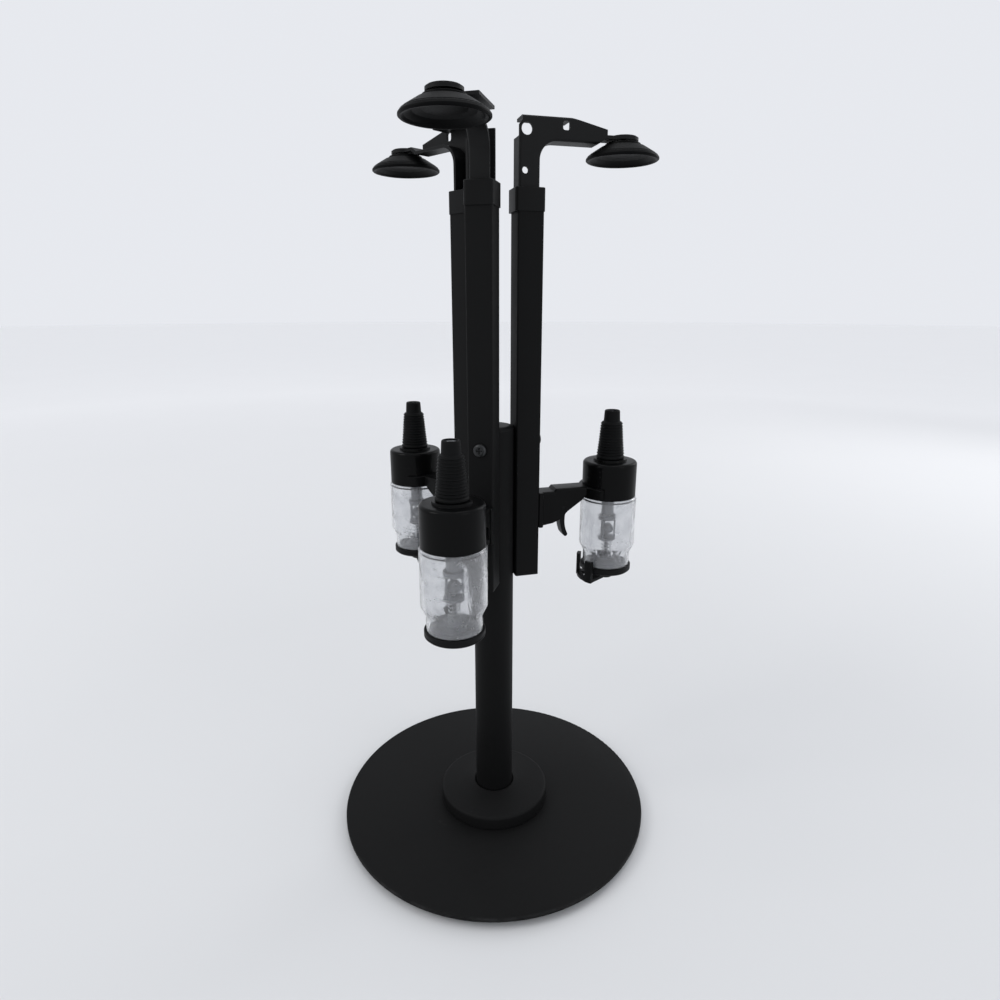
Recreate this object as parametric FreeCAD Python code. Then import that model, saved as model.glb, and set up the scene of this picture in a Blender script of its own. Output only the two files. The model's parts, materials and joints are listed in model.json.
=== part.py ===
import FreeCAD, Part
import math
import os
from FreeCAD import Vector as V

# Rotary bar dispenser: a weighted disc base, a steel spindle, and a turning
# column with three bottle stations. Each station has a box rail, a sprung
# U-channel arm with a rubber cup for the base of an upturned bottle, and a
# clear measure with a cork that goes into the bottle's neck.
# Millimetres. Z up. The origin is the middle of the underside of the base.
# Station frame: +X points out from the column, Z up; stations a, b and c are
# turned to -90, 30 and 150 degrees.

# ---------------------------------------------------------------- dimensions
STATIONS = {"a": -90.0, "b": 30.0, "c": 150.0}

PAD_R, PAD_H = 131.0, 2.0              # anti-slip pad under the base
BASE_R, BASE_TOP = 140.0, 10.0         # weighted disc
UNDERCUT, RIM_Z0 = 7.0, 7.0            # bevel under the rim of the disc
FLANGE_R, FLANGE_TOP = 50.0, 25.8      # foot flange
FLANGE_SCREW_RING = 38.0
SPINDLE_R, SPINDLE_TOP = 8.0, 158.0
RECESS_R, RECESS_Z = 17.45, 13.0       # pocket that hides the foot of the pole
WASHER_TOP = 14.95
POLE_RO, POLE_RI = 17.0, 15.0
POLE_Z0, POLE_Z1 = 15.0, 366.0
BUSH_RI, BUSH_RO = 8.05, 14.97

RAIL_X0, RAIL_X1, RAIL_Y = 17.05, 37.6, 10.2
RAIL_Z0, RAIL_Z1, RAIL_T = 239.0, 545.0, 1.2
COLLAR_X0, COLLAR_X1, COLLAR_Y = 15.1, 38.4, 10.9
COLLAR_Z0, COLLAR_Z1 = 530.0, 546.5
STOP_Z = 355.5                         # stop screw height
BR_SCREW_Z = (289.0, 301.0)            # bracket screw heights

LEG_X0, LEG_X1, LEG_Y = 18.45, 34.6, 7.6
SHEET = 2.2                            # sheet thickness of the arm
LEG_Z0 = 362.0
ARM_BOTTOM, ARM_TOP = 578.4, 594.5
CORNER_R = 13.0                        # inside corner of the L
TONGUE_Z, TONGUE_R = 582.2, 11.6       # round plate at the end of the arm
STEP_X, WEB_END = 80.5, 87.0
SLOT = 0.25                            # running gap of the arm in its guide
ARM_TRAVEL = 90.0
SPRING_X, SPRING_Y = 25.7, 1.3
LIFT_R, LIFT_WIRE, LIFT_TURNS = 4.1, 1.1, 18
LIFT_Z0, LIFT_Z1 = 380.2, 525.8

REACH = 105.0                          # measure axis from the column
CUP_X = 103.0                          # cup axis: the sprung arm leans in a little
BALL_R, BALL_Z = 2.8, 577.2
SOCKET_R, SOCKET_MOUTH = 2.95, 2.5
CUP_R, CUP_RIM = 28.0, 568.5

CAP_R, CAP_Z0, CAP_Z1 = 23.3, 302.0, 333.5
CAP_IN = 21.0
CORK_Z0, CORK_Z1 = 335.6, 377.0
CH_R, CH_NECK, CH_LOW, CH_T = 24.3, 20.4, 20.6, 1.8
CH_TOP, CH_SHOULDER, CH_TAPER, CH_BOTTOM = 329.5, 301.8, 258.0, 239.2
TUBE_RI = 3.3
SEAT_R, SEAT_Z0, SEAT_Z1 = 22.3, 232.5, 242.0
STEM_R = 1.6
VALVE_TRAVEL = 4.0
RET_R, RET_WIRE, RET_TURNS = 4.1, 0.8, 5
RET_Z0, RET_Z1 = 247.1, 260.9
HUB_Z0, HUB_Z1 = 225.4, 228.2
POST_RI, POST_RO, POST_TOP = 22.9, 26.0, 245.0

BR_Y, BR_T = 9.0, 2.5                  # bracket half width, web thickness
BR_TOP, SHOE_TOP = 313.0, 310.8
PIVOT_X, PIVOT_Z, PIVOT_R = 60.0, 296.0, 2.0
PIVOT_HOLE = 2.05


# ------------------------------------------------------------------- helpers
def box(x0, x1, y0, y1, z0, z1):
    return Part.makeBox(x1 - x0, y1 - y0, z1 - z0, V(x0, y0, z0))


def cyl(r, z0, z1, x=0.0, y=0.0):
    return Part.makeCylinder(r, z1 - z0, V(x, y, z0))


def tube(ro, ri, z0, z1, x=0.0, y=0.0):
    return cyl(ro, z0, z1, x, y).cut(cyl(ri, z0 - 1, z1 + 1, x, y))


def cyl_x(r, x0, x1, y, z):
    return Part.makeCylinder(r, x1 - x0, V(x0, y, z), V(1, 0, 0))


def cyl_y(r, y0, y1, x, z):
    return Part.makeCylinder(r, y1 - y0, V(x, y0, z), V(0, 1, 0))


def outline(points, put):
    """Closed wire. A point of four numbers is an arc: middle, then end."""
    edges = []
    here = points[0][-2:]
    for p in list(points[1:]) + [points[0][-2:]]:
        end = p[-2:]
        if len(p) == 4:
            edges.append(Part.Arc(put(here), put(p[:2]), put(end)).toShape())
        elif math.dist(here, end) > 1e-6:
            edges.append(Part.LineSegment(put(here), put(end)).toShape())
        here = end
    return Part.Wire(edges)


def revolve(points, x=0.0, y=0.0):
    wire = outline(points, lambda q: V(x + q[0], y, q[1]))
    return Part.Face(wire).revolve(V(x, y, 0), V(0, 0, 1), 360)


def slab_xz(points, y0, y1):
    wire = outline(points, lambda q: V(q[0], y0, q[1]))
    return Part.Face(wire).extrude(V(0, y1 - y0, 0))


def slab_xy(points, z0, z1):
    wire = outline(points, lambda q: V(q[0], q[1], z0))
    return Part.Face(wire).extrude(V(0, 0, z1 - z0))


def fuse(*shapes):
    out = shapes[0]
    for s in shapes[1:]:
        out = out.fuse(s)
    return out.removeSplitter()


def cut(shape, *tools):
    for t in tools:
        shape = shape.cut(t)
    return shape


def fillet(shape, r, pick):
    return shape.makeFillet(r, [e for e in shape.Edges if pick(e)])


def upright(e):
    a, b = e.Vertexes[0].Point, e.Vertexes[-1].Point
    return abs(a.x - b.x) < 1e-6 and abs(a.y - b.y) < 1e-6 and abs(a.z - b.z) > 1


def turned(shape, angle):
    s = shape.copy()
    s.rotate(V(0, 0, 0), V(0, 0, 1), angle)
    return s


def coil(x, y, r, wire, z0, z1, turns):
    """Envelope of a wound spring: a thin sleeve with one bead for each turn."""
    pitch = (z1 - z0) / turns
    inner, outer, web = r - wire / 2.0, r + wire / 2.0, r - wire / 6.0
    pts = [(inner, z0), (outer, z0)]
    for i in range(turns):
        z = z0 + i * pitch
        pts += [(outer, z + wire), (web, z + wire + 0.15)]
        if i < turns - 1:
            pts += [(web, z + pitch - 0.15), (outer, z + pitch)]
    pts += [(web, z1 - wire - 0.15), (outer, z1 - wire), (outer, z1), (inner, z1)]
    return revolve(pts, x, y)


OUT = {}


def solids(shape):
    return shape.Solids if shape.Solids else [Part.Solid(shape)]


def add(node, shape):
    got = solids(shape)
    OUT[node] = got[0] if len(got) == 1 else Part.makeCompound(got)


def each(node, shape):
    """The same piece at each station, as one node per station."""
    for key, angle in STATIONS.items():
        add(node + "_" + key, turned(shape, angle))


def group(node, shape):
    """The same small piece at each station, in one node."""
    parts = []
    for angle in STATIONS.values():
        parts += solids(turned(shape, angle))
    OUT[node] = Part.makeCompound(parts)


# ---------------------------------------------------------------------- base
add("base_pad", cyl(PAD_R, 0, PAD_H))

plate = revolve([(0, PAD_H), (BASE_R - UNDERCUT, PAD_H), (BASE_R, RIM_Z0),
                 (BASE_R, BASE_TOP - 0.9),
                 (BASE_R - 0.26, BASE_TOP - 0.26, BASE_R - 0.9, BASE_TOP),
                 (0, BASE_TOP)])


def countersunk(r_head, r, z_face, depth, top, x=0.0, y=0.0, gap=0.0):
    """Flat-head screw seen from below, with its head's face at z_face."""
    return revolve([(0, z_face), (r_head + gap, z_face),
                    (r + gap, z_face + depth), (r + gap, top + gap),
                    (0, top + gap)], x, y)


spots = [(FLANGE_SCREW_RING * math.cos(math.radians(a)),
          FLANGE_SCREW_RING * math.sin(math.radians(a))) for a in (45, 135, 225, 315)]
plate = plate.cut(countersunk(8.0, 4.0, PAD_H, 4.0, 29.0, gap=0.25))
flange = revolve([(8.2, BASE_TOP), (FLANGE_R - 0.8, BASE_TOP), (FLANGE_R, BASE_TOP + 0.8),
                  (FLANGE_R, FLANGE_TOP - 5.3),
                  (FLANGE_R - 1.0, FLANGE_TOP - 3.6, FLANGE_R - 3.2, FLANGE_TOP - 2.8),
                  (FLANGE_R - 9.0, FLANGE_TOP - 2.2),
                  (RECESS_R + 6.0, FLANGE_TOP - 1.0),
                  (RECESS_R + 1.2, FLANGE_TOP + 0.4), (RECESS_R, FLANGE_TOP - 0.4),
                  (RECESS_R, RECESS_Z), (8.2, RECESS_Z)])
screws = []
for x, y in spots:
    plate = plate.cut(countersunk(5.0, 2.5, PAD_H, 2.6, 15.0, x, y, 0.25))
    flange = flange.cut(cyl(2.6, BASE_TOP - 1, 19.2, x, y))
    s = countersunk(5.0, 2.5, PAD_H + 0.15, 2.5, 18.6, x, y)
    screws.append(s.cut(box(x - 2.2, x + 2.2, y - 0.5, y + 0.5, 1, PAD_H + 1.2)))
add("base_plate", plate)
add("foot_flange", flange)
add("flange_screws", Part.makeCompound(screws))

spindle = revolve([(0, BASE_TOP), (SPINDLE_R - 0.5, BASE_TOP), (SPINDLE_R, BASE_TOP + 0.5),
                   (SPINDLE_R, SPINDLE_TOP - 0.5), (SPINDLE_R - 0.5, SPINDLE_TOP), (0, SPINDLE_TOP)])
spindle = cut(spindle, cyl(4.05, BASE_TOP - 1, 30), cyl(4.05, 138, SPINDLE_TOP + 1))
add("spindle", spindle)
bolt = countersunk(8.0, 4.0, PAD_H + 0.15, 3.9, 28.0)
bolt = bolt.cut(cyl(2.5, 1, PAD_H + 2.6))
add("spindle_bolt", bolt)
add("thrust_washer", tube(17.15, 8.3, RECESS_Z, WASHER_TOP))
retainer = fuse(cyl(12.0, SPINDLE_TOP, SPINDLE_TOP + 1.6), cyl(7.0, SPINDLE_TOP + 1.6, SPINDLE_TOP + 5.6),
                cyl(4.0, 140, SPINDLE_TOP))
hexa = slab_xy([(3.0 * math.cos(math.radians(a)), 3.0 * math.sin(math.radians(a)))
                for a in range(0, 360, 60)], SPINDLE_TOP + 2.6, SPINDLE_TOP + 6)
add("retaining_screw", retainer.cut(hexa))

# -------------------------------------------------------------------- column
pole = tube(POLE_RO, POLE_RI, POLE_Z0, POLE_Z1)
for angle in STATIONS.values():
    for z in BR_SCREW_Z + (STOP_Z,):
        pole = pole.cut(turned(cyl_x(2.6, 10, 20, 0, z), angle))
add("pole", pole)

lower = revolve([(BUSH_RI, 16.5), (BUSH_RO, 16.5), (BUSH_RO, 41), (BUSH_RI, 41)])
upper = revolve([(BUSH_RI, 130), (BUSH_RO, 130), (BUSH_RO, 157.5), (BUSH_RI, 157.5)])
add("pole_bushes", Part.makeCompound([lower, upper]))

add("pole_cap", revolve([(0, 359.5), (14.6, 359.5), (14.95, 360), (14.95, POLE_Z1),
                         (POLE_RO, POLE_Z1), (POLE_RO, POLE_Z1 + 1.0),
                         (15.4, POLE_Z1 + 2.5, 12.5, POLE_Z1 + 3.2), (4.0, POLE_Z1 + 3.8),
                         (0, POLE_Z1 + 3.8)]))

rail = box(RAIL_X0, RAIL_X1, -RAIL_Y, RAIL_Y, RAIL_Z0, RAIL_Z1)
rail = fillet(rail, 1.6, upright)
bore = box(RAIL_X0 + RAIL_T, RAIL_X1 - RAIL_T, -RAIL_Y + RAIL_T, RAIL_Y - RAIL_T,
           RAIL_Z0 - 1, RAIL_Z1 + 1)
rail = rail.cut(fillet(bore, 0.6, upright))
for z in BR_SCREW_Z + (STOP_Z,):
    rail = rail.cut(cyl_x(2.6, RAIL_X0 - 5, RAIL_X1 + 5, 0, z))
each("rail", rail)


def pan_head(r, h, x, z, r_shaft, x_end):
    """Cross-recess pan-head screw driven inward along -X."""
    head = revolve([(0, 0), (r, 0), (r, h * 0.45), (r * 0.82, h * 0.86, r * 0.45, h), (0, h)])
    head = cut(head, box(-r * 0.5, r * 0.5, -0.5, 0.5, h * 0.35, h + 1),
               box(-0.5, 0.5, -r * 0.5, r * 0.5, h * 0.35, h + 1))
    head.rotate(V(0, 0, 0), V(0, 1, 0), 90)
    head.translate(V(x, 0, z))
    return fuse(head, cyl_x(r_shaft, x_end, x, 0, z))


group("stop_screws", pan_head(5.2, 2.6, RAIL_X1, STOP_Z, 2.5, 12.6))

tongue = box(RAIL_X0 + RAIL_T + 0.1, RAIL_X1 - RAIL_T - 0.1, -8.9, 8.9, RAIL_Z0 - 0.5, RAIL_Z0 + 11)
plug = fuse(fillet(box(RAIL_X0, RAIL_X1, -RAIL_Y, RAIL_Y, RAIL_Z0 - 1.4, RAIL_Z0), 1.4,
                   lambda e: upright(e)), fillet(tongue, 1.0, upright))
group("rail_plugs", plug)

# Guide collar on the head of the rail, with the U-shaped slot for the arm
collar = box(COLLAR_X0, COLLAR_X1, -COLLAR_Y, COLLAR_Y, COLLAR_Z0, COLLAR_Z1)
collar = fillet(collar, 2.6, upright)
collar = fillet(collar, 0.7, lambda e: abs(e.CenterOfMass.z - COLLAR_Z1) < 1e-4)
collar = collar.cut(box(RAIL_X0 - 0.03, RAIL_X1 + 0.03, -RAIL_Y - 0.03, RAIL_Y + 0.03,
                        COLLAR_Z0 - 1, RAIL_Z1))
core_x0, core_x1 = LEG_X0 + SHEET + SLOT, LEG_X1 - SHEET - SLOT
core_y0 = -LEG_Y + SHEET + SLOT
slot = box(LEG_X0 - SLOT, LEG_X1 + SLOT, -LEG_Y - SLOT, LEG_Y + SLOT, COLLAR_Z0 - 3, COLLAR_Z1 + 1)
slot = slot.cut(box(core_x0, core_x1, core_y0, 20, COLLAR_Z0 - 4, COLLAR_Z1 + 2))
collar = fuse(collar, box(core_x0, core_x1, core_y0, 8.9, LIFT_Z1 + 0.2, COLLAR_Z1 - 0.5))
group("rail_guides", collar.cut(slot))

# ------------------------------------------------------------------- bracket
side = slab_xz([(37.7, 281.0), (50.5, 283.0), (57.0, 285.8), (64.0, 292.8), (77.0, 302.0),
                (81.0, 307.0), (83.5, 309.0), (83.5, BR_TOP), (53.5, BR_TOP),
                (51.5, SHOE_TOP), (37.7, SHOE_TOP)], -BR_Y, BR_Y)
side = fillet(side, 2.4, lambda e: e.BoundBox.ZMin > SHOE_TOP - 0.01 and abs(abs(e.CenterOfMass.y) - BR_Y) < 1e-3)
shoe = fillet(box(37.7, 41.6, -10.6, 10.6, 280.2, SHOE_TOP), 1.5,
              lambda e: abs(e.CenterOfMass.x - 41.6) < 1e-3)
saddle = tube(26.2, CAP_R + 0.1, 303.0, BR_TOP - 0.6, REACH).common(box(70, 90.5, -22, 22, 300, 320))
saddle = fillet(saddle, 0.9, lambda e: abs(e.CenterOfMass.z - (BR_TOP - 0.6)) < 1e-4
                and e.BoundBox.XMin < 80.5)
bracket = fuse(side, shoe, saddle)
bracket = bracket.cut(cyl(CAP_R + 0.1, 300, 330, REACH))
inner = slab_xz([(41.6, 275), (96, 275), (96, 310.0), (54.5, 310.0), (52.5, SHOE_TOP - 3.0),
                 (41.6, SHOE_TOP - 3.0)], -BR_Y + BR_T, BR_Y - BR_T)
bracket = bracket.cut(inner)
bracket = cut(bracket, cyl_y(PIVOT_HOLE, -12, 12, PIVOT_X, PIVOT_Z))
for z in BR_SCREW_Z:
    bracket = bracket.cut(cyl_x(2.6, 30, 45, 0, z))
each("bracket", bracket)
pair = []
for z in BR_SCREW_Z:
    pair.append(pan_head(4.0, 2.2, 41.6, z, 2.5, 12.6))
group("bracket_screws", Part.makeCompound(pair))

# ------------------------------------------------------------------- measure
cap = revolve([(CAP_IN, CAP_Z0), (CAP_R - 0.5, CAP_Z0), (CAP_R, CAP_Z0 + 0.5),
               (CAP_R, CAP_Z1 - 2.8), (CAP_R - 0.82, CAP_Z1 - 0.82, CAP_R - 2.8, CAP_Z1),
               (14.4, CAP_Z1), (14.0, CAP_Z1 + 1.9), (5.6, CAP_Z1 + 1.9),
               (5.6, CAP_Z1 - 2.4), (CAP_IN, CAP_Z1 - 2.4)], REACH)
lug = box(74.0, 84.0, -5.0, 5.0, CAP_Z0 + 0.6, 308.8)
lug = lug.cut(box(74.9, 79.3, -6, 6, 300, 306.1))
lug = lug.cut(cyl(CAP_IN + 0.6, 300, 312, REACH))
cap = fuse(cap, lug)
each("measure_cap", cap)

cork = revolve([(5.0, CORK_Z0), (11.6, CORK_Z0), (11.9, CORK_Z0 + 0.8), (11.2, 346.0), (10.6, 346.5),
                (10.6, 348.0), (10.9, 348.5), (10.2, 356.0), (9.6, 356.5), (9.6, 358.0),
                (9.9, 358.5), (9.2, 366.0), (8.6, 367.0), (7.0, 367.6), (6.5, 376.2),
                (5.9, CORK_Z1), (5.0, CORK_Z1)], REACH)
each("cork", cork)

chamber = revolve([(CH_NECK, CH_TOP), (CH_NECK, CH_SHOULDER), (22.6, CH_SHOULDER),
                   (23.8, 301.3, CH_R, 300.1), (CH_R, CH_TAPER), (CH_LOW, 250.0),
                   (CH_LOW, CH_BOTTOM), (CH_LOW - CH_T, CH_BOTTOM), (CH_LOW - CH_T, 250.6),
                   (CH_R - CH_T, CH_TAPER + 0.6), (CH_R - CH_T, 299.0),
                   (CH_NECK - 2.0, 302.4), (CH_NECK - 2.0, CH_TOP)], REACH)
each("chamber", chamber)

tube_in = revolve([(TUBE_RI, 279.0), (5.3, 279.0), (5.4, 279.4), (5.4, 327.4), (16.6, 327.8),
                   (16.6, CAP_Z1 - 2.5), (5.4, CAP_Z1 - 2.5), (4.9, CAP_Z1 - 1.8), (4.9, 375.6),
                   (TUBE_RI, 375.6)], REACH)
cage = fuse(tube(7.6, 5.0, 279.4, 283.0, REACH), tube(7.6, 2.1, 261.0, 263.0, REACH))
legs = []
for a in (90, 210, 330):
    leg = box(6.25, 7.55, -1.0, 1.0, 261.5, 283.0)
    leg.rotate(V(0, 0, 0), V(0, 0, 1), a)
    leg.translate(V(REACH, 0, 0))
    legs.append(leg)
group("inlet_tubes", fuse(tube_in, cage, *legs))
group("cap_gaskets", tube(20.3, 17.0, CH_TOP + 0.05, CAP_Z1 - 2.45, REACH))

seat = revolve([(3.2, SEAT_Z0), (SEAT_R - 1.6, SEAT_Z0), (SEAT_R - 0.4, SEAT_Z0 + 0.5, SEAT_R, SEAT_Z0 + 1.8),
                (SEAT_R, CH_BOTTOM - 0.9), (SEAT_R - 0.6, CH_BOTTOM - 0.3), (CH_LOW - CH_T - 0.1, CH_BOTTOM - 0.3),
                (CH_LOW - CH_T - 0.1, SEAT_Z1 - 0.6), (9.2, SEAT_Z1 - 0.6), (8.8, SEAT_Z1 - 1.0), (8.4, SEAT_Z1 - 0.9),
                (8.0, SEAT_Z1), (3.4, SEAT_Z1), (3.2, SEAT_Z1 - 0.3)], REACH)
group("valve_seats", seat)

stem = revolve([(0, HUB_Z0 + 0.2), (STEM_R, HUB_Z0 + 0.2), (STEM_R, SEAT_Z1 + 0.1), (8.0, SEAT_Z1 + 0.1),
                (8.0, 243.9), (7.4, 244.4), (5.4, 244.4), (5.2, 247.0), (STEM_R, 247.0), (STEM_R, 266.2),
                (5.0, 267.6), (5.7, 268.6), (5.7, 271.6), (3.1, 274.8), (0, 274.8)], REACH)
each("valve_stem", stem)

hub = tube(6.5, STEM_R + 0.05, HUB_Z0, HUB_Z1, REACH)
arms = []
for a in (150, 210):
    arm = box(6.0, 24.4, -3.2, 3.2, HUB_Z0, HUB_Z1)
    post = tube(POST_RO, POST_RI, HUB_Z0, POST_TOP).common(box(20, 28, -3.6, 3.6, HUB_Z0, POST_TOP))
    for s in (arm, post):
        s.rotate(V(0, 0, 0), V(0, 0, 1), a)
        s.translate(V(REACH, 0, 0))
        arms.append(s)
arc = tube(25.4, 20.6, HUB_Z0, HUB_Z1, REACH).common(box(70, 84.5, -11.8, 11.8, HUB_Z0, HUB_Z1))
each("pusher", fuse(hub, arc, *arms))

each("return_spring", coil(REACH, 0, RET_R, RET_WIRE, RET_Z0, RET_Z1, RET_TURNS))

# ------------------------------------------------------------------- trigger
lever = slab_xz([(59.0, 299.9), (66.0, 300.4), (74.4, 302.0), (75.3, 302.3), (75.3, 305.4), (76.0, 305.7),
                 (77.5, 305.5), (78.0, 303.0), (77.6, 300.2), (66.5, 296.4), (63.9, 292.8),
                 (62.7, 288.0), (62.5, 284.0), (62.9, 278.5, 65.2, 271.4), (64.8, 269.2, 62.6, 268.9),
                 (60.8, 271.4), (58.9, 278.5, 58.2, 284.0), (57.6, 288.0), (56.4, 294.0)], -5.6, 5.6)
lever = fuse(lever, cyl_y(4.3, -5.6, 5.6, PIVOT_X, PIVOT_Z), cyl_y(PIVOT_R, -8.9, 8.9, PIVOT_X, PIVOT_Z))
each("release_trigger", lever)

# ------------------------------------------------------- bottle arm and slide
bx, by = LEG_X1 + CORNER_R, ARM_BOTTOM - CORNER_R
c45 = math.cos(math.radians(45))
mid_in = (bx - CORNER_R * c45, by + CORNER_R * c45)
ro = CORNER_R + SHEET
mid_out = (bx - ro * c45, by + ro * c45)
web = slab_xz([(LEG_X0, LEG_Z0), (LEG_X1, LEG_Z0), (LEG_X1, by), mid_in + (bx, ARM_BOTTOM),
               (STEP_X, ARM_BOTTOM), (STEP_X + 6.0, TONGUE_Z), (WEB_END, TONGUE_Z), (WEB_END, 588.0),
               (58.0, ARM_TOP), (20.8, ARM_TOP), (20.7, 591.0), (LEG_X0, 588.2)],
              -LEG_Y, -LEG_Y + SHEET)
lower_flange = slab_xz([(LEG_X1 - SHEET, LEG_Z0), (LEG_X1, LEG_Z0), (LEG_X1, by), mid_in + (bx, ARM_BOTTOM),
                        (STEP_X, ARM_BOTTOM), (STEP_X + 6.0, TONGUE_Z), (CUP_X, TONGUE_Z), (CUP_X, TONGUE_Z + SHEET),
                        (STEP_X + 5.0, TONGUE_Z + SHEET), (STEP_X - 1.0, ARM_BOTTOM + SHEET), (bx, ARM_BOTTOM + SHEET),
                        mid_out + (LEG_X1 - SHEET, by)], -LEG_Y, LEG_Y)
inner_flange = slab_xz([(LEG_X0, LEG_Z0), (LEG_X0 + SHEET, LEG_Z0), (LEG_X0 + SHEET, 581.0), (LEG_X0, 581.0)],
                       -LEG_Y, LEG_Y)
top_flange = slab_xz([(20.8, ARM_TOP - SHEET), (58.0, ARM_TOP - SHEET), (58.0, ARM_TOP), (20.8, ARM_TOP)],
                     -LEG_Y, LEG_Y)
tip = cyl(TONGUE_R, TONGUE_Z, TONGUE_Z + SHEET, CUP_X)
arm = fuse(web, lower_flange, inner_flange, top_flange, tip)
arm = cut(arm, cyl(2.1, TONGUE_Z - 1, TONGUE_Z + 5, CUP_X),
          cyl_y(4.2, -9, -4, 24.2, 585.4),
          cyl_y(2.4, -9, -4, 23.1, 558.0))
window = fillet(box(51.7, 57.0, -9, -4, 585.9, 592.0), 1.6,
                lambda e: abs(e.Vertexes[0].Point.y - e.Vertexes[-1].Point.y) > 4)
arm = arm.cut(window)


def bend_edge(e):
    b = e.BoundBox
    if abs(b.YMin + LEG_Y) > 1e-3 or abs(b.YMax + LEG_Y) > 1e-3:
        return False
    c = e.CenterOfMass
    on_inner = abs(c.x - LEG_X0) < 1e-3 and b.ZLength > 100
    on_outer = abs(c.x - LEG_X1) < 1e-3 and b.ZLength > 100
    on_corner = abs(b.XLength - CORNER_R) < 0.05 and abs(b.ZLength - CORNER_R) < 0.05
    on_bottom = abs(c.z - ARM_BOTTOM) < 1e-3 and b.XLength > 20
    on_top = abs(c.z - ARM_TOP) < 1e-3 and b.XLength > 20
    return on_inner or on_outer or on_corner or on_bottom or on_top


arm = fillet(arm, 1.9, bend_edge)
each("bottle_arm", arm)

gx0, gx1 = LEG_X0 + SHEET + 0.1, LEG_X1 - SHEET - 0.1
slider = fuse(box(RAIL_X0 + RAIL_T + 0.15, RAIL_X1 - RAIL_T - 0.15, -8.8, 8.8, 358.4, LEG_Z0),
              box(gx0, gx1, -LEG_Y + SHEET + 0.1, 8.7, LEG_Z0, LIFT_Z0 - 0.2),
              box(LEG_X1 + 0.1, RAIL_X1 - RAIL_T - 0.15, -8.8, 8.8, LEG_Z0, LIFT_Z0 - 0.2))
each("slider", slider)
each("lift_spring", coil(SPRING_X, SPRING_Y, LIFT_R, LIFT_WIRE, LIFT_Z0, LIFT_Z1, LIFT_TURNS))

neck, disc = 1.5, TONGUE_Z + SHEET
stud = revolve([(0, BALL_Z - BALL_R), (BALL_R, BALL_Z, neck, BALL_Z + math.sqrt(BALL_R ** 2 - neck ** 2)),
                (neck, TONGUE_Z - 0.1), (2.0, TONGUE_Z), (2.0, disc), (10.5, disc),
                (10.5, disc + 0.4), (10.35, disc + 0.75, 10.0, disc + 0.9), (0, disc + 0.9)], CUP_X)
each("ball_stud", stud)

# ------------------------------------------------------------------ rubber cup
mouth_z = BALL_Z + math.sqrt(SOCKET_R ** 2 - SOCKET_MOUTH ** 2)
cup = revolve([(3.1, 581.3), (11.6, 580.7), (12.9, 580.4, 13.4, 579.7),
               (14.3, 579.1, 16.6, 578.6), (21.7, 575.3, 26.8, 572.5), (27.7, 571.8, CUP_R, 570.6),
               (CUP_R, 569.9), (27.6, 568.9, 26.7, CUP_RIM), (25.4, 568.8, 24.3, 569.9),
               (19.6, 572.5, 14.4, 573.4), (0, 573.4), (0, BALL_Z - SOCKET_R),
               (SOCKET_R, BALL_Z, SOCKET_MOUTH, mouth_z)], CUP_X)
each("cup", cup)

# ---------------------------------------------------------------------- write
os.makedirs("parts", exist_ok=True)
for old in os.listdir("parts"):
    if old.endswith(".step") and old[:-5] not in OUT:
        os.remove(os.path.join("parts", old))
bad = []
for name, shape in OUT.items():
    if not shape.isValid() or shape.Volume <= 0:
        bad.append(name)
    shape.exportStep(os.path.join("parts", name + ".step"))
whole = Part.makeCompound(list(OUT.values())).optimalBoundingBox(True, False)
print("nodes", len(OUT), "invalid", bad)
print("box", round(whole.XMin, 1), round(whole.XMax, 1), round(whole.YMin, 1),
      round(whole.YMax, 1), round(whole.ZMin, 1), round(whole.ZMax, 1))
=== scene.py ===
import json
import math

import bmesh
import bpy
from mathutils import Matrix, Vector

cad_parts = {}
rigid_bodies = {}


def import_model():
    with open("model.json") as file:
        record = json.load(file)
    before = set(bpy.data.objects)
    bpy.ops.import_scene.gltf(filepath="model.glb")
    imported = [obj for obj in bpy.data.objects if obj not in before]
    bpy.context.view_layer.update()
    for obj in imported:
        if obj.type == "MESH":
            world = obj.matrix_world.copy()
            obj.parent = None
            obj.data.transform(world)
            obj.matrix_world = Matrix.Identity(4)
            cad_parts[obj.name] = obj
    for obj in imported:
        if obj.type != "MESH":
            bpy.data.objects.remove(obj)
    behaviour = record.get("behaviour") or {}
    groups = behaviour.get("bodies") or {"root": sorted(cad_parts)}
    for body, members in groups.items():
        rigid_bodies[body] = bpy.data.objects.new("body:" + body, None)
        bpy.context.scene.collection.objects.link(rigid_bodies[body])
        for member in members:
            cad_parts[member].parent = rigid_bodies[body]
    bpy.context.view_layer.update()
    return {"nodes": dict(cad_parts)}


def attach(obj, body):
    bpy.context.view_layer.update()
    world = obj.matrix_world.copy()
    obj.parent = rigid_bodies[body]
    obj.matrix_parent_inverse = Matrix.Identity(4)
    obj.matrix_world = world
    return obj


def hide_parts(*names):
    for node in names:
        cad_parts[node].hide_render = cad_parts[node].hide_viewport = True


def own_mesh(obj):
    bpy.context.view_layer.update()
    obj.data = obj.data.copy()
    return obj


for old in list(bpy.data.objects):
    bpy.data.objects.remove(old, do_unlink=True)
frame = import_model()

K = 0.001                                   # profiles are written in millimetres
STATIONS = {"a": -90.0, "b": 30.0, "c": 150.0}
REACH, CUP_X = 105.0, 103.0                 # measure axis and cup axis from the column
RETURN_TOP, LIFT_TOP = 260.9, 525.8         # fixed ends of the springs


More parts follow.
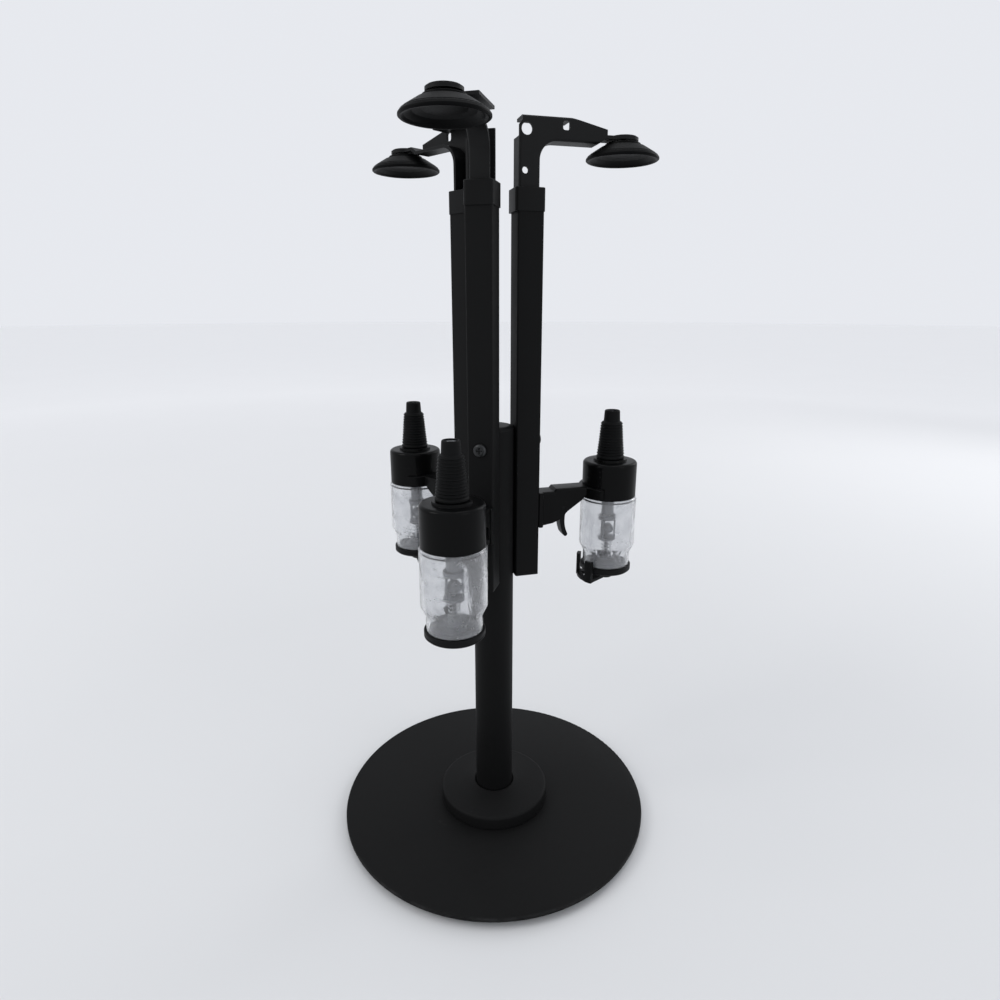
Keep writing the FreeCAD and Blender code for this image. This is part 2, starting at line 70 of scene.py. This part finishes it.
# ------------------------------------------------------------------ materials
class Finish:
    """A node material with a few short hands for procedural detail."""

    def __init__(self, name):
        self.mat = bpy.data.materials.new(name)
        self.mat.use_nodes = True
        self.tree = self.mat.node_tree
        self.tree.nodes.clear()
        self.out = self.node("ShaderNodeOutputMaterial")
        self.bsdf = self.node("ShaderNodeBsdfPrincipled")
        self.link(self.bsdf.outputs["BSDF"], self.out.inputs["Surface"])
        self.place = self.node("ShaderNodeTexCoord").outputs["Object"]

    def node(self, kind, **values):
        n = self.tree.nodes.new(kind)
        for key, value in values.items():
            setattr(n, key, value)
        return n

    def link(self, a, b):
        self.tree.links.new(a, b)

    def set(self, **values):
        for key, value in values.items():
            self.bsdf.inputs[key.replace("_", " ")].default_value = value
        return self

    def noise(self, scale, detail=2.0, rough=0.5, stretch=(1, 1, 1), distortion=0.0):
        m = self.node("ShaderNodeMapping")
        m.inputs["Scale"].default_value = stretch
        self.link(self.place, m.inputs["Vector"])
        n = self.node("ShaderNodeTexNoise")
        n.inputs["Scale"].default_value = scale
        n.inputs["Detail"].default_value = detail
        n.inputs["Roughness"].default_value = rough
        n.inputs["Distortion"].default_value = distortion
        self.link(m.outputs["Vector"], n.inputs["Vector"])
        return n.outputs["Fac"]

    def cells(self, scale, feature="F1", stretch=(1, 1, 1)):
        m = self.node("ShaderNodeMapping")
        m.inputs["Scale"].default_value = stretch
        self.link(self.place, m.inputs["Vector"])
        n = self.node("ShaderNodeTexVoronoi", feature=feature)
        n.inputs["Scale"].default_value = scale
        self.link(m.outputs["Vector"], n.inputs["Vector"])
        return n.outputs["Distance"]

    def ramp(self, fac, lo, hi, to_lo=0.0, to_hi=1.0):
        n = self.node("ShaderNodeMapRange")
        n.inputs["From Min"].default_value = lo
        n.inputs["From Max"].default_value = hi
        n.inputs["To Min"].default_value = to_lo
        n.inputs["To Max"].default_value = to_hi
        self.link(fac, n.inputs["Value"])
        return n.outputs["Result"]

    def math(self, op, a, b):
        n = self.node("ShaderNodeMath", operation=op)
        for i, v in enumerate((a, b)):
            if isinstance(v, (int, float)):
                n.inputs[i].default_value = v
            else:
                self.link(v, n.inputs[i])
        return n.outputs[0]

    def mix(self, fac, a, b):
        n = self.node("ShaderNodeMix", data_type="RGBA")
        self.link(fac, n.inputs["Factor"])
        for i, v in ((6, a), (7, b)):
            if isinstance(v, tuple):
                n.inputs[i].default_value = v if len(v) == 4 else (*v, 1.0)
            else:
                self.link(v, n.inputs[i])
        return n.outputs[2]

    def colour(self, socket):
        self.link(socket, self.bsdf.inputs["Base Color"])

    def rough(self, socket):
        self.link(socket, self.bsdf.inputs["Roughness"])

    def bump(self, *layers):
        """Layers of (height, distance in metres), the coarsest first."""
        normal = None
        for height, distance in layers:
            n = self.node("ShaderNodeBump")
            n.inputs["Strength"].default_value = 1.0
            n.inputs["Distance"].default_value = distance
            self.link(height, n.inputs["Height"])
            if normal is not None:
                self.link(normal, n.inputs["Normal"])
            normal = n.outputs["Normal"]
        self.link(normal, self.bsdf.inputs["Normal"])

    def worn(self, radius=0.0005):
        """About 1 along outer edges, 0 elsewhere."""
        b = self.node("ShaderNodeBevel", samples=6)
        b.inputs["Radius"].default_value = radius
        g = self.node("ShaderNodeNewGeometry")
        d = self.node("ShaderNodeVectorMath", operation="DOT_PRODUCT")
        self.link(b.outputs["Normal"], d.inputs[0])
        self.link(g.outputs["True Normal"], d.inputs[1])
        edge = self.ramp(d.outputs["Value"], 0.995, 0.90)
        patchy = self.ramp(self.noise(70, 4, 0.6), 0.42, 0.66)
        return self.math("MULTIPLY", edge, patchy)


def grey(v, tint=0.0):
    return (v * (1 - tint), v, v * (1 + tint))


def painted(name, dark, light, rough_lo, rough_hi, grain, depth, edge, specular=0.3, coat=0.0, bare=0.06):
    """Powder coat or paint on steel: fine orange peel, faint cloudiness, rubbed edges."""
    f = Finish(name)
    f.set(Specular_IOR_Level=specular, Coat_Weight=coat, Coat_Roughness=0.25)
    cloud = f.noise(9, 5, 0.6)
    fine = f.noise(grain, 3, 0.55)
    speck = f.noise(grain * 0.35, 2, 0.5)
    body = f.mix(f.ramp(cloud, 0.32, 0.7), grey(dark, 0.02), grey(light, 0.03))
    body = f.mix(f.ramp(fine, 0.62, 0.78, 0.0, 0.5), body, grey(light * 1.9, 0.03))
    rub = f.worn()
    body = f.mix(f.math("MULTIPLY", rub, edge), body, grey(bare, 0.02))
    f.colour(body)
    r = f.math("ADD", f.ramp(cloud, 0.3, 0.7, rough_lo, rough_hi), f.ramp(fine, 0.3, 0.7, -0.04, 0.04))
    f.rough(r)
    f.bump((speck, depth * 1.6), (fine, depth))
    return f.mat


def moulded(name, dark, light, rough_lo, rough_hi, grain=1600, depth=0.000012, specular=0.4, coat=0.0, coat_rough=0.12):
    """Injection-moulded black plastic: faint flow marks, fine grain and handling scratches."""
    f = Finish(name)
    f.set(Specular_IOR_Level=specular, Coat_Weight=coat, Coat_Roughness=coat_rough)
    flow = f.noise(26, 4, 0.55, (1, 1, 0.35), 0.6)
    fine = f.noise(grain, 2, 0.5)
    scratch = f.noise(420, 1, 0.4, (0.05, 0.7, 1.0))
    lines = f.ramp(scratch, 0.70, 0.76)
    body = f.mix(f.ramp(flow, 0.3, 0.7), grey(dark, 0.02), grey(light, 0.04))
    body = f.mix(f.math("MULTIPLY", lines, 0.25), body, grey(light * 2.4))
    body = f.mix(f.math("MULTIPLY", f.worn(0.0004), 0.25), body, grey(0.04))
    f.colour(body)
    r = f.math("ADD", f.ramp(flow, 0.3, 0.7, rough_lo, rough_hi), f.math("MULTIPLY", lines, 0.12))
    f.rough(r)
    f.bump((flow, depth * 3), (fine, depth))
    return f.mat


def rubber(name, dark, light, rough_lo, rough_hi, dust=0.35, grain=1400, depth=0.00003, shine=0.2):
    """Soft black rubber: dull bloom, fine grain, a little sheen."""
    f = Finish(name)
    f.set(Specular_IOR_Level=shine)
    bloom = f.noise(55, 5, 0.62, (1, 1, 1), 0.4)
    fine = f.noise(grain, 3, 0.5)
    body = f.mix(f.ramp(bloom, 0.35, 0.72), grey(dark, 0.03), grey(light, 0.05))
    body = f.mix(f.ramp(f.noise(600, 2), 0.66, 0.8, 0.0, dust), body, grey(light * 2.2, 0.02))
    f.colour(body)
    f.rough(f.math("ADD", f.ramp(bloom, 0.3, 0.7, rough_lo, rough_hi), f.ramp(fine, 0.3, 0.7, -0.05, 0.05)))
    f.bump((bloom, depth * 1.2), (fine, depth))
    return f.mat


def steel(name, base=0.42, stretch=(1, 1, 14), rough_lo=0.24, rough_hi=0.4):
    """Turned or drawn steel with fine marks and a little staining."""
    f = Finish(name)
    f.set(Metallic=1.0)
    marks = f.noise(260, 4, 0.6, stretch)
    stain = f.noise(40, 4, 0.6)
    body = f.mix(f.ramp(stain, 0.35, 0.7), grey(base, 0.02), grey(base * 1.35, 0.03))
    body = f.mix(f.ramp(marks, 0.55, 0.8, 0.0, 0.4), body, grey(base * 0.55))
    f.colour(body)
    f.rough(f.ramp(marks, 0.3, 0.7, rough_lo, rough_hi))
    f.bump((marks, 0.000012))
    return f.mat


def clear(name):
    """Clear moulded polycarbonate: rippled, a little cloudy, with hazy handling marks."""
    f = Finish(name)
    f.set(Transmission_Weight=0.93, IOR=1.49, Specular_IOR_Level=0.5)
    ripple = f.noise(60, 3, 0.55, (1, 1, 0.6), 0.8)
    haze = f.noise(110, 5, 0.65)
    scratch = f.ramp(f.noise(500, 1, 0.4, (0.08, 1.0, 0.5)), 0.68, 0.75)
    f.colour(f.mix(f.ramp(haze, 0.4, 0.72), (0.93, 0.935, 0.945), (0.78, 0.79, 0.81)))
    f.rough(f.math("ADD", f.ramp(haze, 0.4, 0.72, 0.04, 0.24), f.math("MULTIPLY", scratch, 0.2)))
    f.bump((ripple, 0.00035), (f.noise(900, 2), 0.000008))
    return f.mat


def milky(name, base, tint, rough_lo=0.32, rough_hi=0.48, translucent=0.35):
    """Natural, slightly see-through plastic."""
    f = Finish(name)
    f.set(Subsurface_Weight=translucent, Subsurface_Scale=0.002, Specular_IOR_Level=0.45)
    f.bsdf.inputs["Subsurface Radius"].default_value = (1.0, 0.9, 0.8)
    flow = f.noise(60, 4, 0.6, (1, 1, 0.3), 0.5)
    f.colour(f.mix(f.ramp(flow, 0.3, 0.7), base, tint))
    f.rough(f.ramp(flow, 0.3, 0.7, rough_lo, rough_hi))
    f.bump((f.noise(700, 2), 0.00001))
    return f.mat


def disc_paint():
    """Matt wrinkle finish of the base, with the rim rubbed lighter by handling."""
    f = Finish("base_paint")
    f.set(Specular_IOR_Level=0.11)
    cloud = f.noise(7, 5, 0.6)
    wrinkle = f.cells(950, "SMOOTH_F1")
    fine = f.noise(2200, 3, 0.55)
    split = f.node("ShaderNodeSeparateXYZ")
    f.link(f.place, split.inputs[0])
    flat = f.node("ShaderNodeCombineXYZ")
    f.link(split.outputs[0], flat.inputs[0])
    f.link(split.outputs[1], flat.inputs[1])
    reach = f.node("ShaderNodeVectorMath", operation="LENGTH")
    f.link(flat.outputs[0], reach.inputs[0])
    body = f.mix(f.ramp(cloud, 0.3, 0.72), grey(0.0034, 0.02), grey(0.0056, 0.02))
    body = f.mix(f.ramp(fine, 0.6, 0.8, 0.0, 0.5), body, grey(0.018))
    scuff = f.ramp(f.noise(170, 4, 0.7, (0.25, 1.0, 1.0), 1.2), 0.66, 0.74)
    body = f.mix(f.math("MULTIPLY", scuff, 0.25), body, grey(0.022))
    rim = f.math("MULTIPLY", f.ramp(reach.outputs["Value"], 0.1385, 0.1399),
                 f.ramp(f.noise(60, 4, 0.65), 0.4, 0.68))
    body = f.mix(f.math("MULTIPLY", rim, 0.5), body, grey(0.035))
    body = f.mix(f.math("MULTIPLY", f.worn(0.0006), 0.3), body, grey(0.05))
    f.colour(body)
    f.rough(f.math("ADD", f.ramp(cloud, 0.3, 0.7, 0.56, 0.66), f.ramp(fine, 0.3, 0.7, -0.05, 0.05)))
    f.bump((wrinkle, 0.00005), (fine, 0.00003))
    return f.mat


MATERIALS = {
    "base_paint": disc_paint(),
    "column_paint": painted("column_paint", 0.0032, 0.0052, 0.56, 0.66, 1500, 0.000016, 0.4, 0.1),
    "arm_paint": painted("arm_paint", 0.0046, 0.0082, 0.44, 0.54, 1300, 0.000018, 0.6, 0.13, bare=0.07),
    "black_plastic": moulded("black_plastic", 0.0032, 0.0052, 0.42, 0.54, specular=0.11),
    "bracket_plastic": moulded("bracket_plastic", 0.002, 0.0036, 0.3, 0.4, specular=0.06, coat=0.06),
    "cap_plastic": moulded("cap_plastic", 0.0016, 0.0028, 0.3, 0.4, 1800, 0.000008, 0.04, 0.09, 0.06),
    "cork_rubber": rubber("cork_rubber", 0.0036, 0.006, 0.5, 0.64, shine=0.08),
    "cup_rubber": rubber("cup_rubber", 0.0022, 0.0038, 0.4, 0.5, 0.12, shine=0.04),
    "pad_rubber": rubber("pad_rubber", 0.012, 0.02, 0.66, 0.8, 0.4),
    "seal_rubber": rubber("seal_rubber", 0.012, 0.02, 0.5, 0.62, 0.2),
    "clear_plastic": clear("clear_plastic"),
    "inner_plastic": milky("inner_plastic", (0.16, 0.165, 0.175), (0.3, 0.31, 0.325)),
    "bearing_plastic": milky("bearing_plastic", (0.72, 0.70, 0.64), (0.80, 0.78, 0.73), 0.4, 0.55, 0.2),
    "screw_black": steel("screw_black", 0.035, (6, 6, 6), 0.3, 0.44),
    "steel": steel("steel"),
}

# the frame's own nodes take these finishes
for node in frame["nodes"].values():
    slots = [m.name.split(".")[0] if m else "" for m in node.data.materials]
    for i, name in enumerate(slots):
        if name not in MATERIALS:
            name = next((k for k in MATERIALS if slots[i].startswith(k)), "black_plastic")
        node.data.materials[i] = MATERIALS[name]


# ------------------------------------------------- soft edges on the hard parts
def soften(node, width, segments=2, angle=32):
    """Rolled edges as moulding and paint give them. The vertices stay where they are."""
    mesh = node.data
    if "custom_normal" in mesh.attributes:
        mesh.attributes.remove(mesh.attributes["custom_normal"])
    if "sharp_edge" in mesh.attributes:
        mesh.attributes.remove(mesh.attributes["sharp_edge"])
    mesh.polygons.foreach_set("use_smooth", [True] * len(mesh.polygons))
    w = node.modifiers.new("join", "WELD")
    w.merge_threshold = 2e-6
    d = node.modifiers.new("flats", "DECIMATE")
    d.decimate_type = "DISSOLVE"
    d.angle_limit = math.radians(0.4)
    b = node.modifiers.new("edges", "BEVEL")
    b.width = width * K
    b.segments = segments
    b.limit_method = "ANGLE"
    b.angle_limit = math.radians(angle)
    b.use_clamp_overlap = True
    b.harden_normals = True
    b.miter_outer = "MITER_ARC"


EDGES = {"base_plate": 0.35, "foot_flange": 0.35, "pole": 0.3, "pole_cap": 0.2, "rail_plugs": 0.3,
         "rail_guides": 0.3, "stop_screws": 0.12, "bracket_screws": 0.12, "flange_screws": 0.12,
         "thrust_washer": 0.2, "retaining_screw": 0.15, "spindle": 0.2, "inlet_tubes": 0.12}
for key in STATIONS:
    EDGES.update({"rail_" + key: 0.25, "bracket_" + key: 0.35, "measure_cap_" + key: 0.25,
                  "bottle_arm_" + key: 0.25, "pusher_" + key: 0.3, "release_trigger_" + key: 0.35,
                  "slider_" + key: 0.4, "ball_stud_" + key: 0.12, "valve_stem_" + key: 0.12,
                  "chamber_" + key: 0.2})
for name, width in EDGES.items():
    soften(frame["nodes"][name], width)


# ------------------------------------------------------------- mesh workshop
def rounded(points, steps=5):
    """A profile from corners (r, z, fillet). A ring of support beside each fillet keeps flats flat."""
    out = []
    n = len(points)
    for i, p in enumerate(points):
        r, z = p[0], p[1]
        f = p[2] if len(p) > 2 else 0.0
        if f <= 0 or i in (0, n - 1):
            out.append((r, z))
            continue
        here = Vector((r, z))
        back = (Vector(points[i - 1][:2]) - here)
        ahead = (Vector(points[i + 1][:2]) - here)
        lb, la = back.length, ahead.length
        back.normalize()
        ahead.normalize()
        turn = math.pi - back.angle(ahead)
        if turn < 0.02:
            out.append((r, z))
            continue
        cut = min(f * math.tan(turn / 2), lb * 0.48, la * 0.48)
        radius = cut / math.tan(turn / 2)
        mid = (back + ahead).normalized()
        centre = here + mid * (radius / math.cos(turn / 2))
        start, end = here + back * cut, here + ahead * cut
        a0 = math.atan2(start.y - centre.y, start.x - centre.x)
        a1 = math.atan2(end.y - centre.y, end.x - centre.x)
        while a1 - a0 > math.pi:
            a1 -= 2 * math.pi
        while a1 - a0 < -math.pi:
            a1 += 2 * math.pi
        side = min(0.15, (lb - cut) * 0.3, (la - cut) * 0.3)
        if side > 0.01:
            q = start + back * side
            out.append((q.x, q.y))
        for k in range(steps + 1):
            t = a0 + (a1 - a0) * k / steps
            out.append((centre.x + radius * math.cos(t), centre.y + radius * math.sin(t)))
        if side > 0.01:
            q = end + ahead * side
            out.append((q.x, q.y))
    return out


def lathe(bm, points, closed=True, around=144, at=(0.0, 0.0), shape=None):
    """Turns a profile in millimetres about a vertical axis. shape(r, z, angle) may bend each point."""
    rings = []
    for r, z in points:
        if r < 1e-6:
            rings.append([bm.verts.new((at[0] * K, at[1] * K, z * K))])
            continue
        ring = []
        for k in range(around):
            a = 2 * math.pi * k / around
            rr, zz = shape(r, z, a) if shape else (r, z)
            ring.append(bm.verts.new(((at[0] + rr * math.cos(a)) * K, (at[1] + rr * math.sin(a)) * K, zz * K)))
        rings.append(ring)
    pairs = list(zip(rings, rings[1:]))
    if closed:
        pairs.append((rings[-1], rings[0]))
    for a, b in pairs:
        if len(a) == 1 and len(b) == 1:
            continue
        for k in range(around):
            j = (k + 1) % around
            if len(a) == 1:
                bm.faces.new((a[0], b[j], b[k]))
            elif len(b) == 1:
                bm.faces.new((a[k], a[j], b[0]))
            else:
                bm.faces.new((a[k], a[j], b[j], b[k]))


def helix(bm, at, radius, wire, z0, z1, turns, per_turn=48, ring=14):
    """Compression spring with closed, ground end turns."""
    steps = int(turns * per_turn)
    lo, hi = z0 + wire / 2, z1 - wire / 2
    last = None
    first = None
    for i in range(steps + 1):
        t = i / steps
        flat = 1.0 / turns                         # one closed turn at each end
        if t < flat:
            rise = 0.35 * wire / (hi - lo) * (t / flat)
        elif t > 1 - flat:
            rise = 1 - 0.35 * wire / (hi - lo) * ((1 - t) / flat)
        else:
            u = (t - flat) / (1 - 2 * flat)
            e = 0.35 * wire / (hi - lo)
            ease = u + 0.03 * math.sin(2 * math.pi * u) / math.pi
            rise = e + (1 - 2 * e) * min(1, max(0, ease))
        a = 2 * math.pi * turns * t
        centre = Vector((at[0] + radius * math.cos(a), at[1] + radius * math.sin(a), lo + (hi - lo) * rise))
        out = Vector((math.cos(a), math.sin(a), 0))
        up = Vector((0, 0, 1))
        loop = []
        for k in range(ring):
            b = 2 * math.pi * k / ring
            p = centre + out * (wire / 2 * math.cos(b)) + up * (wire / 2 * math.sin(b))
            loop.append(bm.verts.new(p * K))
        if last:
            for k in range(ring):
                j = (k + 1) % ring
                bm.faces.new((last[k], last[j], loop[j], loop[k]))
        else:
            first = loop
        last = loop
    bm.faces.new(first)
    bm.faces.new(list(reversed(last)))


def piece(name, bm, material, body, replaces):
    bmesh.ops.recalc_face_normals(bm, faces=bm.faces)
    mesh = bpy.data.meshes.new(name)
    bm.to_mesh(mesh)
    bm.free()
    mesh.polygons.foreach_set("use_smooth", [True] * len(mesh.polygons))
    mesh.materials.append(MATERIALS[material])
    o = bpy.data.objects.new(name, mesh)
    bpy.context.scene.collection.objects.link(o)
    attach(o, body)
    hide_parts(*replaces)
    return o


def spot(key, x, y=0.0):
    a = math.radians(STATIONS[key])
    return (x * math.cos(a) - y * math.sin(a), x * math.sin(a) + y * math.cos(a))


# ----------------------------------------------------------------- rubber cups
CUP = rounded([
    (3.1, 581.25), (11.5, 580.75, 0.5), (13.6, 580.5, 0.7), (13.8, 579.1, 0.4), (14.6, 578.9, 0.4),
    (16.8, 578.3, 0.8), (21.6, 575.4, 2.5), (25.2, 573.15, 0.8), (25.4, 572.7, 0.2), (26.5, 572.2, 0.5),
    (27.9, 570.4, 0.7), (27.9, 569.3, 0.4), (27.0, 568.55, 0.5), (25.7, 568.75, 0.5), (24.2, 570.0, 1.2),
    (19.4, 572.4, 2.0), (14.0, 573.4, 1.0), (0.0, 573.4)])
SOCKET = [(0.0, 574.25)] + [(2.95 * math.sin(t), 577.2 - 2.95 * math.cos(t))
                            for t in [0.28 * i for i in range(1, 8)]] + [(2.5, 578.9), (2.45, 579.4), (2.7, 580.6)]


def cup_shape(r, z, a):
    """A trace of sag in the thin rim."""
    if r > 24.0:
        r += 0.03 * math.sin(3 * a + 0.7)
        z += 0.05 * math.sin(2 * a + 1.1) + 0.03 * math.sin(5 * a)
    return min(r, 27.99), max(z, 568.52)


for key in STATIONS:
    bm = bmesh.new()
    lathe(bm, CUP[::-1] + [(2.9, 581.1)] + SOCKET[::-1], closed=False, around=192, at=spot(key, CUP_X), shape=cup_shape)
    piece("cup_rubber_" + key, bm, "cup_rubber", "bottle_cup_" + key, ["cup_" + key])


# ----------------------------------------------------------------------- corks
def cork_profile():
    out = [(5.05, 335.65), (11.5, 335.65, 0.3), (11.88, 336.2, 0.3), (11.85, 337.4, 0.3)]
    z, top = 338.0, 366.0
    while z < top - 2.0:
        r = 11.75 - (z - 337.0) / 29.0 * 2.6
        out += [(r - 0.62, z + 0.25, 0.2), (r - 0.66, z + 0.95, 0.25), (r, z + 1.55, 0.14), (r - 0.08, z + 2.05, 0.18)]
        z += 2.35
    out += [(8.55, 366.2, 0.3), (8.3, 367.0, 0.5), (7.0, 367.7, 0.4), (6.85, 370.0), (6.6, 374.6, 0.4),
            (6.45, 376.3, 0.5), (5.95, 376.98, 0.3), (5.05, 376.98)]
    return rounded(out, 4)


CORK = cork_profile()
for key in STATIONS:
    bm = bmesh.new()
    lathe(bm, CORK, closed=True, around=96, at=spot(key, REACH),
          shape=lambda r, z, a: (r + (0.05 * math.sin(2 * a + z * 0.3) if 338 < z < 366 and r > 8 else 0.0), z))
    piece("cork_ribbed_" + key, bm, "cork_rubber", "column", ["cork_" + key])

# -------------------------------------------------------------------- gaskets
bm = bmesh.new()
for key in STATIONS:
    lathe(bm, rounded([(17.1, 330.6), (17.1, 329.6, 0.2), (18.2, 329.6, 0.2), (18.6, 329.9, 0.2), (19.0, 329.6, 0.2),
                       (20.2, 329.6, 0.2), (20.2, 331.0, 0.2), (19.0, 331.0, 0.2), (18.6, 330.7, 0.2),
                       (18.2, 331.0, 0.2), (17.1, 331.0, 0.2)], 3), closed=True, around=72, at=spot(key, REACH))
piece("gasket_rings", bm, "seal_rubber", "column", ["cap_gaskets"])

# -------------------------------------------------- foot of each measure chamber
FOOT = rounded([(3.25, 235.9), (3.25, 232.55, 0.2), (6.2, 232.55, 0.2), (6.5, 233.3, 0.2), (9.0, 233.3, 0.2),
                (9.3, 232.55, 0.2), (20.6, 232.55, 1.6), (22.3, 234.2, 0.5), (22.3, 234.9, 0.15), (22.0, 235.1, 0.15),
                (22.0, 235.6, 0.15), (22.3, 235.8, 0.15), (22.3, 238.4, 0.4), (21.7, 238.88, 0.2), (18.75, 238.88, 0.2),
                (18.75, 235.9)], 4)
DISH = rounded([(3.25, 236.0), (18.65, 236.0, 0.2), (18.65, 241.35, 0.3), (17.3, 241.35, 0.3), (16.9, 240.5, 0.3),
                (14.9, 240.5, 0.3), (14.5, 241.1, 0.3), (12.9, 241.1, 0.3), (12.5, 240.4, 0.3), (10.0, 240.4, 0.3),
                (8.6, 241.0, 0.2), (8.0, 241.95, 0.25), (5.2, 241.95, 0.15), (4.9, 241.6, 0.15), (3.5, 241.6, 0.15),
                (3.25, 241.4)], 3)
bm = bmesh.new()
for key in STATIONS:
    lathe(bm, FOOT, closed=True, around=144, at=spot(key, REACH))
piece("seat_feet", bm, "black_plastic", "column", ["valve_seats"])
bm = bmesh.new()
for key in STATIONS:
    lathe(bm, DISH, closed=True, around=144, at=spot(key, REACH))
piece("seat_dishes", bm, "inner_plastic", "column", ["valve_seats"])

# ------------------------------------------------------------- anti-slip mat
mat_points = [(0.0, 2.0), (130.4, 2.0, 0.4), (130.95, 1.6, 0.4), (130.95, 0.6, 0.4), (130.2, 0.02, 0.5)]
r = 128.0
while r > 20:
    mat_points += [(r, 0.02, 0.2), (r - 0.5, 0.5, 0.2), (r - 2.4, 0.5, 0.2), (r - 2.9, 0.02, 0.2)]
    r -= 9.5
mat_points += [(0.0, 0.02)]
bm = bmesh.new()
lathe(bm, rounded(mat_points, 3), closed=False, around=192)
piece("base_mat", bm, "pad_rubber", "base", ["base_pad"])

# --------------------------------------------------------------------- springs
for key in STATIONS:
    bm = bmesh.new()
    helix(bm, spot(key, REACH), 4.1, 0.8, 247.1, RETURN_TOP, 6.0)
    o = piece("return_coil_" + key, bm, "steel", "column", ["return_spring_" + key])
    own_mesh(o)
    bm = bmesh.new()
    helix(bm, spot(key, 25.7, 1.3), 4.1, 1.1, 380.2, LIFT_TOP, 24.0, 32, 10)
    o = piece("lift_coil_" + key, bm, "steel", "column", ["lift_spring_" + key])
    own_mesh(o)


# ----------------------------------------------------------------------- stage
def pale(name, near, far, rough):
    """Matt paper, with painted light: its colour grades from darker near the middle to lighter far out so that it runs
    into the background.
    """
    f = Finish(name)
    f.set(Specular_IOR_Level=0.2)
    soft = f.noise(3, 4, 0.5)
    reach = f.node("ShaderNodeVectorMath", operation="LENGTH")
    f.link(f.place, reach.inputs[0])
    # painted light: the floor colour is darker near the object and lighter far out
    painted_light_tone = f.mix(f.ramp(reach.outputs["Value"], 0.5, 3.2), grey(near, 0.008), grey(far, 0.0))
    f.colour(f.mix(f.ramp(soft, 0.3, 0.7, 0.0, 0.02), painted_light_tone, grey(0.5)))
    f.rough(f.ramp(soft, 0.3, 0.7, rough, rough + 0.05))
    return f.mat


bm = bmesh.new()
sweep = [(0.0, 0.0)] + [(r, 0.0) for r in (250, 500, 1000, 2000, 4000, 8000, 16000)]
lathe(bm, sweep, closed=False, around=96)
bmesh.ops.recalc_face_normals(bm, faces=bm.faces)
mesh = bpy.data.meshes.new("floor")
bm.to_mesh(mesh)
bm.free()
mesh.polygons.foreach_set("use_smooth", [True] * len(mesh.polygons))
mesh.materials.append(pale("floor_paint", 0.68, 0.97, 0.7))
floor = bpy.data.objects.new("floor", mesh)
bpy.context.scene.collection.objects.link(floor)


def softbox(name, at, aim, width, height, power, colour=(1, 1, 1)):
    light = bpy.data.lights.new(name, "AREA")
    light.shape = "RECTANGLE"
    light.size, light.size_y = width, height
    light.energy = power
    light.color = colour
    o = bpy.data.objects.new(name, light)
    o.location = at
    o.rotation_mode = "QUATERNION"
    o.rotation_quaternion = (Vector(aim) - Vector(at)).to_track_quat("-Z", "Y")
    bpy.context.scene.collection.objects.link(o)
    return o


softbox("key", (-1.5, -1.1, 1.7), (0, 0, 0.3), 1.0, 1.0, 11, (1.0, 0.99, 0.97))
softbox("fill", (1.9, -0.9, 1.2), (0, 0, 0.35), 0.8, 1.4, 3.5, (0.97, 0.985, 1.0))
softbox("top", (0.1, 0.3, 2.3), (0, 0, 0.3), 1.4, 1.4, 7)
softbox("back_right", (1.3, 1.7, 1.3), (0, 0, 0.4), 0.7, 1.3, 6)

world = bpy.data.worlds.new("studio")
world.use_nodes = True
bpy.context.scene.world = world
back = world.node_tree.nodes["Background"]
back.inputs["Color"].default_value = (0.93, 0.95, 1.0, 1.0)
back.inputs["Strength"].default_value = 0.86
bpy.context.scene.view_settings.view_transform = "Standard"

# ---------------------------------------------------------------------- camera
lens = bpy.data.cameras.new("camera")
lens.sensor_width = 36.0
lens.lens = 23.94
lens.clip_start, lens.clip_end = 0.02, 60.0
camera = bpy.data.objects.new("camera", lens)
camera.location = (0.1450, -0.5180, 0.4652)
camera.rotation_euler = (math.radians(73.41), 0.0, math.radians(15.04))
bpy.context.scene.collection.objects.link(camera)
bpy.context.scene.camera = camera
